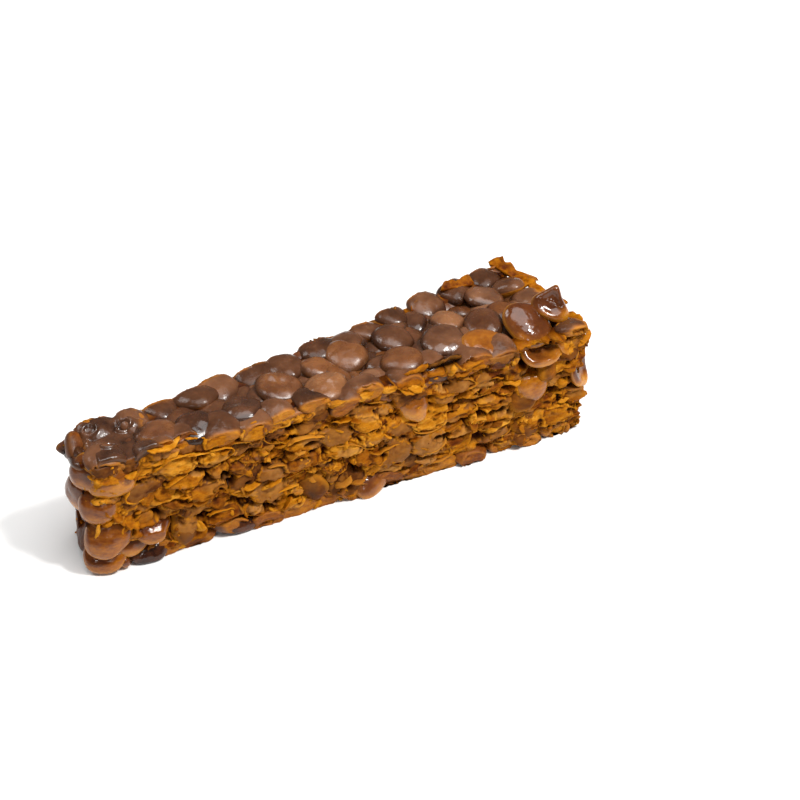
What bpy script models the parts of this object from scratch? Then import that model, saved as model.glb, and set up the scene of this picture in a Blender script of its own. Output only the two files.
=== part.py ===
"""Tempeh cake: one finger broken from a flat cake of lentil tempeh, as a single closed solid.

The cake was pressed flat, so the top, the underside and the left end are a skin of whole lentils.
The two long sides and the right end were cut and torn, so they show layers of lentils edge on.
Metres, +Z up. The origin is the centre of the bounding box's underside. X runs along the straight
front side, which faces -Y. The back side curves away from it, so the finger is wide at its right end.
"""

import math
import random

import bmesh
import bpy
import numpy as np
from mathutils import Euler, Matrix, Vector

MM = 0.001

# Driving dimensions of the finger.
LENGTH = 93 * MM
WIDTH_LEFT = 12 * MM
WIDTH_MIDDLE = 17 * MM
WIDTH_RIGHT = 26.5 * MM
HEIGHT = 23 * MM
END_SLANT = 4.5 * MM  # the right end is askew, so the back side is this much shorter

# Cooked brown lentils.
LENTIL_WIDTH = 7.4 * MM
LENTIL_THICKNESS = 3.3 * MM
SKIN_GAP = 5.6 * MM  # the least from one lentil's middle to the next, in the skin
LAYERS = 7
SECTION_PITCH = 6.2 * MM  # from one lentil to the next along a layer

# How far the lentils stand out of the mass that binds them, and what cutting or pressing took off.
SKIN_PROUD = 1.3 * MM
CORE_INSET = 2.1 * MM
CUT_PROUD = 0.5 * MM
CUT_RELIEF = 1.6 * MM
FLOOR_BITE = 0.5 * MM
CORNER_ROUND = 1.5 * MM

# The most prominent lentils of the top, in millimetres: along the finger, in from the front side,
# width, and how far they stand above their neighbours. Others fill in between them.
PROMINENT_LENTILS = (
    (-32.5, 4.5, 7.8, 0.3),
    (-26.0, 4.0, 7.4, 0.1),
    (-17.5, 5.5, 8.0, 0.0),
    (-9.5, 8.0, 8.2, 0.2),
    (-2.5, 4.5, 8.0, 0.0),
    (4.5, 11.5, 7.8, 0.2),
    (12.5, 6.0, 8.4, 0.2),
    (21.5, 7.5, 8.6, 0.5),
    (30.0, 9.5, 7.6, 0.2),
)

# Whole lentils that the break at the front right corner left standing: place in millimetres,
# along, in from the front side and up; width; the way that the flat side faces.
CORNER_LENTILS = (
    ((36.4, 5.6, 22.2), 8.6, (0.15, -0.5, 1.0)),
    ((41.0, 7.0, 25.0), 7.2, (-0.3, -0.8, 0.7)),
    ((36.6, 0.9, 18.4), 7.8, (0.15, -0.75, 0.75)),
    ((35.6, 1.0, 13.2), 6.6, (0.1, -0.9, 0.35)),
    ((44.6, 4.6, 11.0), 7.2, (0.9, -0.3, 0.2)),
)

# Surface resolution of the solid.
VOXEL = 0.65 * MM
KEPT_SHARE = 0.13
LENTIL_SEGMENTS = 24
LENTIL_RINGS = 12

UP = Vector((0, 0, 1))
FRONT = -WIDTH_RIGHT / 2


def clear_scene():
    for obj in list(bpy.data.objects):
        bpy.data.objects.remove(obj)


def width_at(along):
    """The width at a share of the length: a parabola through the left, middle and right widths."""
    bend = 2 * (WIDTH_LEFT - 2 * WIDTH_MIDDLE + WIDTH_RIGHT)
    slope = WIDTH_RIGHT - WIDTH_LEFT - bend
    return WIDTH_LEFT + slope * along + bend * along * along


def plan(along, across):
    """The point of the plan at a share of the length and of the width, from the front left."""
    reach = LENGTH - END_SLANT * across
    return Vector((along * reach - LENGTH / 2, FRONT + across * width_at(along), 0))


def front_side(share):
    return plan(share, 0)


def back_side(share):
    return plan(share, 1)


def right_end(share):
    return plan(1, share)


SIDES = {"front": front_side, "back": back_side, "right": right_end}


def outward_at(side, share):
    """The way that a cut side faces at a share of its run."""
    step = 0.01
    run = side(share + step) - side(share - step)
    outward = run.cross(UP).normalized()
    if outward.dot(side(share) - plan(0.5, 0.5)) < 0:
        outward.negate()
    return outward


def run_length(side):
    return (side(1) - side(0)).length


def trims_near(place):
    """The plane of each cut side next to a place, as a point of it and its outward direction."""
    along = min(max(place.x / LENGTH + 0.5, 0.02), 0.98)
    across = min(max((place.y - FRONT) / width_at(along), 0.02), 0.98)
    shares = {"front": along, "back": along, "right": across}
    return {
        name: (SIDES[name](share), outward_at(SIDES[name], share))
        for name, share in shares.items()
    }


def fill_in(taken, to_place, gap, rng, tries=3000):
    """Places of a face at least a gap from each other and from the taken ones, tried at random."""
    taken = [Vector(place) for place in taken]
    made = []
    for _ in range(tries):
        place = to_place(rng.random(), rng.random())
        if all((place - other).length > gap for other in taken):
            taken.append(place)
            made.append(place)
    return made


def any_width(rng):
    return LENTIL_WIDTH * rng.uniform(0.86, 1.08)


def cut_lentils(name):
    """The lentils seen edge on along a cut side, as place, width and how far each stands out.

    The top and the bottom layer are the skin's own lentils where the cut ran through them.
    """
    rng = random.Random(name)
    side = SIDES[name]
    length = run_length(side)
    margin = 0.4 * LENTIL_WIDTH / length
    per_layer = round(length / SECTION_PITCH)
    low = LENTIL_THICKNESS / 2 - FLOOR_BITE
    high = HEIGHT - LENTIL_THICKNESS / 2
    made = []
    for layer in range(LAYERS):
        height = low + (high - low) * layer / (LAYERS - 1)
        inner = 0 < layer < LAYERS - 1
        phase = rng.random()
        for step in range(per_layer):
            share = (step + phase + rng.uniform(-0.25, 0.25)) / per_layer
            share = margin + (1 - 2 * margin) * share
            depth = rng.uniform(0.1, 0.42) * LENTIL_WIDTH
            place = side(share) - outward_at(side, share) * depth
            place.z = height + (rng.uniform(-0.6, 0.6) * MM if inner else 0)
            proud = CUT_PROUD - CUT_RELIEF * rng.random() ** 1.5
            made.append((place, any_width(rng), proud))
    return made


def top_lentils():
    """The lentils of the top inside its cut edges, as place and width."""
    rng = random.Random("top")
    middle = HEIGHT - LENTIL_THICKNESS / 2
    made = [
        (Vector((x * MM, FRONT + y * MM, middle + lift * MM)), width * MM)
        for x, y, width, lift in PROMINENT_LENTILS
    ]
    taken = [Vector((*place.xy, 0)) for place, _ in made]
    for name in SIDES:
        edge = [place for place, _, _ in cut_lentils(name) if place.z > middle - MM]
        taken += [Vector((*place.xy, 0)) for place in edge]
    for spot, _, _ in CORNER_LENTILS[:2]:
        taken.append(Vector((spot[0] * MM, FRONT + spot[1] * MM, 0)))
    for place in fill_in(taken, lambda a, b: plan(0.03 + 0.94 * a, b), SKIN_GAP, rng):
        made.append((place + UP * (middle - rng.uniform(0, 0.4) * MM), any_width(rng)))
    return made


def under_lentils():
    """The lentils of the underside inside its cut edges, as place and width."""
    rng = random.Random("under")
    middle = LENTIL_THICKNESS / 2 - FLOOR_BITE
    taken = []
    for name in SIDES:
        edge = [place for place, _, _ in cut_lentils(name) if place.z < middle + MM]
        taken += [Vector((*place.xy, 0)) for place in edge]
    places = fill_in(taken, lambda a, b: plan(0.03 + 0.94 * a, b), SKIN_GAP, rng)
    return [(place + UP * middle, any_width(rng)) for place in places]


def left_lentils():
    """The lentils of the natural left end, standing on edge, as place and width."""
    rng = random.Random("left")
    margin = 0.42 * LENTIL_WIDTH

    def to_place(across, up):
        place = plan(0, 0.2 + 0.6 * across)
        return place + Vector((LENTIL_THICKNESS / 2, 0, margin + up * (HEIGHT - 2 * margin)))

    return [(place, any_width(rng)) for place in fill_in((), to_place, SKIN_GAP, rng)]


def unit_lentil():
    """The points and faces of a ball of radius 1, which every lentil scales."""
    ball = bmesh.new()
    bmesh.ops.create_uvsphere(
        ball, u_segments=LENTIL_SEGMENTS, v_segments=LENTIL_RINGS, radius=1
    )
    ball.verts.index_update()
    points = np.array([vert.co[:] for vert in ball.verts])
    faces = [[vert.index for vert in face.verts] for face in ball.faces]
    ball.free()
    return points, faces


class Mass:
    """The lentils and the core, gathered as points and faces before they are fused."""

    def __init__(self):
        self.rng = random.Random("leans")
        self.unit, self.unit_faces = unit_lentil()
        self.points = []
        self.faces = []
        self.count = 0

    def add(self, points, faces):
        self.points.append(np.asarray(points))
        self.faces += [[index + self.count for index in face] for face in faces]
        self.count += len(points)

    def lentil(self, place, normal, width, lean=12, proud=None):
        """A flattened ball, its flat side towards normal, leaning by up to lean degrees.

        No part of it stands out of a cut side by more than proud says for that side.
        """
        rng = self.rng
        angles = [math.radians(rng.uniform(-lean, lean)) for _ in range(2)]
        turn = (
            Vector(normal).to_track_quat("Z", "Y").to_matrix()
            @ Euler((*angles, rng.uniform(0, math.tau))).to_matrix()
        )
        thickness = LENTIL_THICKNESS * rng.uniform(0.9, 1.1)
        size = Matrix.Diagonal((width / 2 * rng.uniform(0.94, 1.06), width / 2, thickness / 2))
        points = self.unit @ np.array(turn @ size).T + np.array(place)
        for name, (start, outward) in trims_near(place).items():
            limit = (proud or {}).get(name, CUT_PROUD)
            out = (points - np.array(start)) @ np.array(outward) - limit
            points -= np.outer(np.maximum(out, 0), np.array(outward))
        self.add(points, self.unit_faces)


def add_core(mass):
    """The bound mass: a block inside the standing lentils, cut across where its sides bend."""
    block = bmesh.new()
    bmesh.ops.create_cube(block, size=1)
    lengthwise = [e for e in block.edges if abs(e.verts[0].co.x - e.verts[1].co.x) > 0.5]
    bmesh.ops.subdivide_edges(block, edges=lengthwise, cuts=5, use_grid_fill=True)
    low, high = SKIN_PROUD - FLOOR_BITE, HEIGHT - SKIN_PROUD
    for vert in block.verts:
        along, across = vert.co.x + 0.5, vert.co.y + 0.5
        place = plan(along, across)
        if along < 0.01 or along > 0.99:
            place.x -= math.copysign(CORE_INSET, along - 0.5)
        place.y -= math.copysign(CORE_INSET, across - 0.5)
        vert.co = place + UP * (low if vert.co.z < 0 else high)
    sharp = [edge for edge in block.edges if edge.calc_face_angle() > math.radians(30)]
    bmesh.ops.bevel(block, geom=sharp, offset=CORNER_ROUND, segments=3, affect="EDGES")
    block.verts.index_update()
    mass.add(
        [vert.co[:] for vert in block.verts],
        [[vert.index for vert in face.verts] for face in block.faces],
    )
    block.free()


def add_lentils(mass):
    for place, width in top_lentils():
        mass.lentil(place, UP, width)
    for place, width in under_lentils():
        mass.lentil(place, -UP, width)
    for place, width in left_lentils():
        mass.lentil(place, (-1, 0, 0), width, lean=25)
    for name in SIDES:
        for place, width, proud in cut_lentils(name):
            mass.lentil(place, UP, width, lean=9, proud={name: proud})
    for (x, y, z), width, facing in CORNER_LENTILS:
        place = Vector((x * MM, FRONT + y * MM, z * MM))
        mass.lentil(place, facing, width * MM, lean=0)


def move_to(obj, collection):
    for old in list(obj.users_collection):
        old.objects.unlink(obj)
    collection.objects.link(obj)


def new_collection(name):
    collection = bpy.data.collections.new(name)
    bpy.context.scene.collection.children.link(collection)
    return collection


def make_floor_cutter(collection):
    """A block under z = 0 that takes the underside's lentils off flat."""
    bpy.ops.mesh.primitive_cube_add(size=1)
    cutter = bpy.context.object
    cutter.name = "floor_cutter"
    thickness = 10 * MM
    cutter.data.transform(
        Matrix.Translation((0, 0, -thickness / 2))
        @ Matrix.Diagonal((2 * LENGTH, 3 * WIDTH_RIGHT, thickness, 1))
    )
    cutter.hide_render = True
    cutter.display_type = "WIRE"
    move_to(cutter, collection)
    return cutter


def tempeh_material():
    material = bpy.data.materials.new("tempeh")
    material.use_nodes = True
    shader = material.node_tree.nodes["Principled BSDF"]
    shader.inputs["Base Color"].default_value = (0.2, 0.083, 0.027, 1)
    shader.inputs["Roughness"].default_value = 0.45
    shader.inputs["Metallic"].default_value = 0
    return material


def make_cake(collection, cutter):
    """The lentils and the core, fused by a voxel remesh and cut flat underneath."""
    mass = Mass()
    add_core(mass)
    add_lentils(mass)

    mesh = bpy.data.meshes.new("tempeh_cake")
    mesh.from_pydata(np.concatenate(mass.points).tolist(), [], mass.faces)
    mesh.materials.append(tempeh_material())
    cake = bpy.data.objects.new("tempeh_cake", mesh)
    collection.objects.link(cake)

    fuse = cake.modifiers.new("fuse", "REMESH")
    fuse.mode = "VOXEL"
    fuse.voxel_size = VOXEL
    lighten = cake.modifiers.new("lighten", "DECIMATE")
    lighten.ratio = KEPT_SHARE
    flatten = cake.modifiers.new("flatten_underside", "BOOLEAN")
    flatten.operation = "DIFFERENCE"
    flatten.object = cutter
    return cake


def main():
    clear_scene()
    cutter = make_floor_cutter(new_collection("cutters"))
    make_cake(new_collection("tempeh_cake"), cutter)


main()
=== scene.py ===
"""The looks of the tempeh cake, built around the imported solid.

Sizes are in millimetres until a piece becomes a mesh. X runs along the straight front side, which
faces -Y, and the cake lies on z = 0. Its lentils are where the solid has its bumps: the functions
that place them make the same draws.
"""

import itertools
import math
import random
from collections import namedtuple

import bpy
import numpy as np
from mathutils import Euler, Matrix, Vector


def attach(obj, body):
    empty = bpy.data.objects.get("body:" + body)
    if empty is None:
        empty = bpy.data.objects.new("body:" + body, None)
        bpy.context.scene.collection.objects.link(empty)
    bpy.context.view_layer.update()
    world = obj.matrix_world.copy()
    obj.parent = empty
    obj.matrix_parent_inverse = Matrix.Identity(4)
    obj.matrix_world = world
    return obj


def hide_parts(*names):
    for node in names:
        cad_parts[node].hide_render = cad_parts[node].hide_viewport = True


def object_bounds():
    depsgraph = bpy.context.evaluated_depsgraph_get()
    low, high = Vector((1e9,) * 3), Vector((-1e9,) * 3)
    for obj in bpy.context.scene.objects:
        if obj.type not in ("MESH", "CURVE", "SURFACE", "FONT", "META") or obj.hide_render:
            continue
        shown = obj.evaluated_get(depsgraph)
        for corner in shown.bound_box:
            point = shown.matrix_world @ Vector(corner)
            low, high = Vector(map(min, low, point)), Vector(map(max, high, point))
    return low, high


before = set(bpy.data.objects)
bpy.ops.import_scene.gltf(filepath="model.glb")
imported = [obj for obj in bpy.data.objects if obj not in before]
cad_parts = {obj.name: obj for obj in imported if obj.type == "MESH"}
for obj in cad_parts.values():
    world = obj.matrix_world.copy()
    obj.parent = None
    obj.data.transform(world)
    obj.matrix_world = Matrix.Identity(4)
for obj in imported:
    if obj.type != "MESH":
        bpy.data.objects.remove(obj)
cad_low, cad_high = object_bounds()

MM = 0.001
UP = Vector((0, 0, 1))

# The finger that was broken from the cake.
LENGTH = 93
WIDTH_LEFT = 12
WIDTH_MIDDLE = 17
WIDTH_RIGHT = 26.5
HEIGHT = 23
END_SLANT = 4.5
FRONT = -WIDTH_RIGHT / 2

# Its lentils, and how they stand out of the sides.
LENTIL_WIDTH = 7.4
LENTIL_THICKNESS = 3.3
SKIN_GAP = 5.6
LAYERS = 7
SECTION_PITCH = 6.2
SKIN_PROUD = 1.3
CORE_INSET = 2.1
CUT_PROUD = 0.5
CUT_RELIEF = 1.6
FLOOR_BITE = 0.5

# Along the finger, in from the front side, width, and how far it stands above its neighbours.
PROMINENT_LENTILS = (
    (-32.5, 4.5, 7.8, 0.3),
    (-26.0, 4.0, 7.4, 0.1),
    (-17.5, 5.5, 8.0, 0.0),
    (-9.5, 8.0, 8.2, 0.2),
    (-2.5, 4.5, 8.0, 0.0),
    (4.5, 11.5, 7.8, 0.2),
    (12.5, 6.0, 8.4, 0.2),
    (21.5, 7.5, 8.6, 0.5),
    (30.0, 9.5, 7.6, 0.2),
)

# Place (along, in from the front side, up), width, and the way that the flat side faces.
CORNER_LENTILS = (
    ((36.4, 5.6, 22.2), 8.6, (0.15, -0.5, 1.0)),
    ((41.0, 7.0, 25.0), 7.2, (-0.3, -0.8, 0.7)),
    ((36.6, 0.9, 18.4), 7.8, (0.15, -0.75, 0.75)),
    ((35.6, 1.0, 13.2), 6.6, (0.1, -0.9, 0.35)),
    ((44.6, 4.6, 11.0), 7.2, (0.9, -0.3, 0.2)),
)

# The camera, as it looks down on the front side.
CAMERA_AZIMUTH = -26.3
CAMERA_ELEVATION = 36
CAMERA_DISTANCE = 386
CAMERA_LENS = 100
CAMERA_AIM = (14.1, 1.4)  # right of and above the middle of the finger, as the camera sees it


# ---------------------------------------------------------------- noise


def hashed(cells, seed):
    """A repeatable number from 0 to 1 for each cell of a whole-number grid."""
    mask = 0xFFFFFFFF
    mixed = cells @ np.array((374761393, 668265263, 1013904223)) + seed * 69069
    mixed = (((mixed & mask) ^ ((mixed & mask) >> 13)) * 1274126177) & mask
    return ((mixed ^ (mixed >> 16)) & 0xFFFFFF) / 0xFFFFFF


def noise(points, size, seed=0):
    """Smooth noise from -1 to 1; size is a feature's size, the same all round or for each axis."""
    places = np.asarray(points, float) / size
    cells = np.floor(places).astype(np.int64)
    part = places - cells
    part = part * part * (3 - 2 * part)
    total = np.zeros(len(places))
    for corner in itertools.product((0, 1), repeat=3):
        weight = np.prod(np.where(corner, part, 1 - part), axis=1)
        total += weight * hashed(cells + corner, seed)
    return 2 * total - 1


def fractal(points, size, seed=0, octaves=4, keep=0.5):
    """Noise with finer noise on it, each octave half the size and keep times the height."""
    size = np.asarray(size, float)
    total, height, reach = 0, 1, 0
    for octave in range(octaves):
        total = total + height * noise(points, size / 2**octave, seed + 17 * octave)
        reach += height
        height *= keep
    return total / reach


def as_points(x, y, z):
    """Rows of points from grids of their coordinates."""
    return np.stack(np.broadcast_arrays(x, y, z), axis=-1).reshape(-1, 3)


def ease(low, high, value):
    share = np.clip((value - low) / (high - low), 0, 1)
    return share * share * (3 - 2 * share)


def bell(value, middle, spread):
    """1 where the value is at the middle, falling off smoothly on both sides."""
    return np.exp(-(((value - middle) / spread) ** 2))


# ---------------------------------------------------------------- where the lentils are


def width_at(along):
    bend = 2 * (WIDTH_LEFT - 2 * WIDTH_MIDDLE + WIDTH_RIGHT)
    slope = WIDTH_RIGHT - WIDTH_LEFT - bend
    return WIDTH_LEFT + slope * along + bend * along * along


def plan(along, across):
    """The point of the plan at a share of the length and of the width, from the front left."""
    reach = LENGTH - END_SLANT * across
    return Vector((along * reach - LENGTH / 2, FRONT + across * width_at(along), 0))


# Each cut side by its name: the point of the plan at a share of its run.
SIDES = {
    "front": lambda share: plan(share, 0),
    "back": lambda share: plan(share, 1),
    "right": lambda share: plan(1, share),
}


def outward_at(side, share):
    """The way that a cut side faces at a share of its run."""
    step = 0.01
    run = side(share + step) - side(share - step)
    outward = run.cross(UP).normalized()
    if outward.dot(side(share) - plan(0.5, 0.5)) < 0:
        outward.negate()
    return outward


def run_length(side):
    return (side(1) - side(0)).length


def trims_near(place):
    """The plane of each cut side next to a place, as a point of it and its outward direction."""
    along = min(max(place.x / LENGTH + 0.5, 0.02), 0.98)
    across = min(max((place.y - FRONT) / width_at(along), 0.02), 0.98)
    shares = {"front": along, "back": along, "right": across}
    return {
        name: (SIDES[name](share), outward_at(SIDES[name], share))
        for name, share in shares.items()
    }


def fill_in(taken, to_place, gap, rng, tries=3000):
    """Places of a face at least a gap from each other and from the taken ones, tried at random."""
    taken = [Vector(place) for place in taken]
    made = []
    for _ in range(tries):
        place = to_place(rng.random(), rng.random())
        if all((place - other).length > gap for other in taken):
            taken.append(place)
            made.append(place)
    return made


def on_plan(places):
    return [Vector((*place.xy, 0)) for place in places]


def any_width(rng):
    return LENTIL_WIDTH * rng.uniform(0.86, 1.08)


def cut_lentils(name):
    """The lentils cut along a side: place, width, how far it stands out, layer and depth."""
    rng = random.Random(name)
    side = SIDES[name]
    length = run_length(side)
    margin = 0.4 * LENTIL_WIDTH / length
    per_layer = round(length / SECTION_PITCH)
    low = LENTIL_THICKNESS / 2 - FLOOR_BITE
    high = HEIGHT - LENTIL_THICKNESS / 2
    made = []
    for layer in range(LAYERS):
        height = low + (high - low) * layer / (LAYERS - 1)
        inner = 0 < layer < LAYERS - 1
        phase = rng.random()
        for step in range(per_layer):
            share = (step + phase + rng.uniform(-0.25, 0.25)) / per_layer
            share = margin + (1 - 2 * margin) * share
            depth = rng.uniform(0.1, 0.42) * LENTIL_WIDTH
            place = side(share) - outward_at(side, share) * depth
            place.z = height + (rng.uniform(-0.6, 0.6) if inner else 0)
            proud = CUT_PROUD - CUT_RELIEF * rng.random() ** 1.5
            made.append((place, any_width(rng), proud, layer, share, depth))
    return made


def cut_places():
    return [cut[0] for name in SIDES for cut in cut_lentils(name)]


def top_lentils():
    rng = random.Random("top")
    middle = HEIGHT - LENTIL_THICKNESS / 2
    made = [
        (Vector((x, FRONT + y, middle + lift)), width) for x, y, width, lift in PROMINENT_LENTILS
    ]
    taken = on_plan(place for place, _ in made)
    taken += on_plan(place for place in cut_places() if place.z > middle - 1)
    taken += [Vector((x, FRONT + y, 0)) for (x, y, _), _, _ in CORNER_LENTILS[:2]]
    for place in fill_in(taken, lambda a, b: plan(0.03 + 0.94 * a, b), SKIN_GAP, rng):
        made.append((place + UP * (middle - rng.uniform(0, 0.4)), any_width(rng)))
    return made


def under_lentils():
    rng = random.Random("under")
    middle = LENTIL_THICKNESS / 2 - FLOOR_BITE
    taken = on_plan(place for place in cut_places() if place.z < middle + 1)
    places = fill_in(taken, lambda a, b: plan(0.03 + 0.94 * a, b), SKIN_GAP, rng)
    return [(place + UP * middle, any_width(rng)) for place in places]


def left_lentils():
    rng = random.Random("left")
    margin = 0.42 * LENTIL_WIDTH

    def to_place(across, up):
        place = plan(0, 0.2 + 0.6 * across)
        return place + Vector((LENTIL_THICKNESS / 2, 0, margin + up * (HEIGHT - 2 * margin)))

    return [(place, any_width(rng)) for place in fill_in((), to_place, SKIN_GAP, rng)]


Lentil = namedtuple("Lentil", "group place turn width length thickness proud layer share depth")


def lens_rise(share):
    """How high a lentil stands at a share of its radius, as a share of half its thickness."""
    return (1 - share**2.4) ** 0.62


def turn_to(normal, angles):
    """The turn that faces a lens along a normal, after a turn by three angles."""
    turn = Vector(normal).to_track_quat("Z", "Y").to_matrix()
    return np.array(turn @ Euler(angles).to_matrix())


def turn_near(rng, normal, lean):
    """A turn that faces about along a normal, with a lean in degrees and any spin."""
    angles = [math.radians(rng.uniform(-lean, lean)) for _ in range(2)]
    return turn_to(normal, (*angles, rng.uniform(0, math.tau)))


def all_lentils():
    """Every lentil with its lean, in the order that the solid makes them."""
    rng = random.Random("leans")
    made = []

    def lean_one(group, place, normal, width, lean, proud=CUT_PROUD, layer=0, share=0, depth=0):
        turn = turn_near(rng, normal, lean)
        thickness = LENTIL_THICKNESS * rng.uniform(0.9, 1.1)
        length = width * rng.uniform(0.94, 1.06)
        rest = (proud, layer, share, depth)
        made.append(Lentil(group, place, turn, width, length, thickness, *rest))

    for place, width in top_lentils():
        lean_one("top", place, UP, width, 12)
    for place, width in under_lentils():
        lean_one("under", place, -UP, width, 12)
    for place, width in left_lentils():
        lean_one("left", place, (-1, 0, 0), width, 25)
    for name in SIDES:
        for place, width, proud, layer, share, depth in cut_lentils(name):
            lean_one(name, place, UP, width, 9, proud, layer, share, depth)
    for (x, y, z), width, facing in CORNER_LENTILS:
        lean_one("corner", Vector((x, FRONT + y, z)), facing, width, 0)
    return made


# ---------------------------------------------------------------- gathering a piece


# How far the looks may stand out of the solid's box: a little more at the left end.
ALLOWANCE_LOW = np.array((1.2, 0.6, 0))
ALLOWANCE_HIGH = np.array((0.6, 0.6, 0.5))


class Heap:
    """The points, faces and looks of one piece.

    A look is four numbers from 0 to 1 for each point: how much of it is bare flesh and not coat,
    its tone from dark to light, how much it is a thin rim, and how little painted shade it has.
    """

    def __init__(self):
        self.points, self.faces, self.looks = [], [], []
        self.count = 0

    def add(self, points, faces, look):
        self.points.append(points)
        self.looks.append(np.broadcast_to(look, (len(points), 4)))
        self.faces += [tuple(index + self.count for index in face) for face in faces]
        self.count += len(points)

    def piece(self, name, material, slot):
        """The heap as one object that stands for the solid."""
        points = np.concatenate(self.points)
        low = np.array(cad_low) / MM - ALLOWANCE_LOW
        points = np.clip(points, low, np.array(cad_high) / MM + ALLOWANCE_HIGH)
        mesh = bpy.data.meshes.new(name)
        mesh.from_pydata((points * MM).tolist(), [], self.faces)
        mesh.shade_smooth()
        looks = mesh.attributes.new("look", "FLOAT_COLOR", "POINT")
        tones = np.clip(np.concatenate(self.looks), 0, 1)
        looks.data.foreach_set("color", tones.astype(np.float32).ravel())
        mesh.materials.append(material)
        obj = bpy.data.objects.new(name, mesh)
        bpy.context.scene.collection.objects.link(obj)
        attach(obj, "root")
        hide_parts("tempeh_cake")
        return obj


def look_of(flesh, tone, rim=0.0, light=1.0):
    return np.stack(np.broadcast_arrays(flesh, tone, rim, light), axis=-1).astype(float)


# ---------------------------------------------------------------- lentils


def disc_template(segments, upper, lower):
    """A closed lens as angles, shares of the radius, sides (1 up, -1 down) and faces."""
    rings = [(math.sin(math.pi / 2 * ring / upper), 1) for ring in range(1, upper + 1)]
    rings += [(math.sin(math.pi / 2 * ring / lower), -1) for ring in range(lower - 1, 0, -1)]
    angle, share, side = [0.0], [0.0], [1]
    for radius, way in rings:
        for step in range(segments):
            angle.append(math.tau * step / segments)
            share.append(radius)
            side.append(way)
    angle.append(0.0)
    share.append(0.0)
    side.append(-1)
    faces = []
    last = len(angle) - 1
    for step in range(segments):
        after = (step + 1) % segments
        faces.append((0, 1 + step, 1 + after))
        for ring in range(len(rings) - 1):
            low, high = 1 + ring * segments, 1 + (ring + 1) * segments
            faces.append((low + step, high + step, high + after, low + after))
        ring = 1 + (len(rings) - 1) * segments
        faces.append((ring + step, last, ring + after))
    return np.array(angle), np.array(share), np.array(side), faces


FINE_LENS = disc_template(48, 12, 6)
EVEN_LENS = disc_template(44, 11, 9)
COARSE_LENS = disc_template(32, 8, 5)


def lens_points(template, rng, lentil, wrinkle=0.3, bend=(0, 0), taper=0, dish=0):
    """A lens in its own frame, a little out of round, with the wrinkles of a cooked skin.

    A bend curls it up along its length and its width, a taper draws it to a point, and a dish
    hollows its upper side.
    """
    angle, share, side, _ = template
    outline = 1 + sum(
        rng.uniform(0, swell) * np.cos(turns * angle + rng.uniform(0, math.tau))
        for turns, swell in ((2, 0.07), (3, 0.07), (4, 0.05), (6, 0.025))
    )
    x = lentil.length / 2 * outline * share * np.cos(angle)
    y = lentil.width / 2 * outline * share * np.sin(angle)
    y *= 1 - taper * x / (lentil.length / 2)
    dome = (1 - share**2.8) ** 0.6
    z = side * lentil.thickness / 2 * dome
    points = np.stack((x, y, z), axis=1)
    shift = np.array([rng.uniform(0, 500) for _ in range(3)])
    inside = 1 - share**6
    dented = fractal(points + shift, 2.4, octaves=2) * 0.5 * wrinkle
    creased = -np.abs(fractal(points + shift, (1.9, 1.0, 2), seed=5, octaves=2)) * 0.3 * wrinkle
    points[:, 2] += (dented + creased) * inside * side
    dent = rng.uniform(-0.35, 0.3)
    if dent > 0:
        middle_x, middle_y = rng.uniform(-1.4, 1.4), rng.uniform(-1.4, 1.4)
        away = ((x - middle_x) / 1.5) ** 2 + ((y - middle_y) / 1.2) ** 2
        points[:, 2] -= side * dent * np.exp(-away)
    points[:, 2] += bend[0] * x**2 + bend[1] * y**2
    points[:, 2] -= dish * (side > 0) * (1 - ease(0.3, 0.85, share))
    return points


def place_lens(points, lentil):
    return points @ lentil.turn.T + np.array(lentil.place)


def trim(points, lentil, relief=None, spare=0.0):
    """Keeps points inside the cut sides. Returns how far each one would have stood out."""
    points = points.copy()
    cut = np.full(len(points), -9.0)
    for name, (start, outward) in trims_near(lentil.place).items():
        limit = (lentil.proud if name == lentil.group else CUT_PROUD) + spare
        out = (points - np.array(start)) @ np.array(outward) - limit
        keep = np.maximum(out, 0)
        if relief is not None:
            lip = 0.2 * bell(keep, 0, 0.35)
            keep = np.where(out > 0, np.maximum(keep - relief(points) - lip, 0), 0)
        points -= np.outer(keep, np.array(outward))
        cut = np.maximum(cut, out)
    return points, cut


LIGHTER_RIGHT = 0.0026  # how much lighter the skins get with each millimetre along the finger
RIM_SHADE = 0.8  # how much darker a skin's lentils are where they meet


def skin_tone(rng):
    return min(max(rng.gauss(0.43, 0.1), 0.22), 0.78)


def add_skin_lentils(heap, lentils, template, rng, bare=0.0, top=None, spare=0.0):
    """Whole lentils of a natural face, in shadow where they lie well below a given top."""
    share = template[1]
    for lentil in lentils:
        wrinkle = rng.uniform(0.15, 1.15) ** 1.5
        points = place_lens(lens_points(template, rng, lentil, wrinkle), lentil)
        points, cut = trim(points, lentil, strata, spare)
        torn = ease(-1.2, 0.2, cut + 0.5 * fractal(points, 1.6, 77, 2))
        inner = (template[2] < 0) & (cut > -3.5)
        flesh = np.maximum(np.maximum(torn, 0.85 * inner), bare + 0.45 * rng.random() ** 3)
        rim = ease(0.93, 1.0, share) * 0.2
        # Painted shade where the lentils meet and on those that lie well below a given top; less of
        # it on bare flesh.
        light = 1 - RIM_SHADE * ease(0.76, 1.0, share)
        if top is not None:
            light *= 1 - 0.6 * ease(1.0, 2.1, top - points[:, 2])
        light = 1 - (1 - light) * (1 - 0.8 * flesh)
        tone = skin_tone(rng) + LIGHTER_RIGHT * lentil.place.x
        heap.add(points, template[3], look_of(flesh, tone, rim, light))


def strata(points):
    """The relief of cut flesh: fine splits along the layers, and bites torn out of it."""
    fine = fractal(points, (1.5, 1.5, 0.45), seed=31, octaves=3)
    broad = fractal(points, (2.4, 2.4, 1.3), seed=37, octaves=2)
    bites = ease(0.05, 0.45, fractal(points, (3.2, 3.2, 1.8), seed=41, octaves=2))
    return 0.25 * fine + 0.35 * broad - 1.1 * bites


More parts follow.
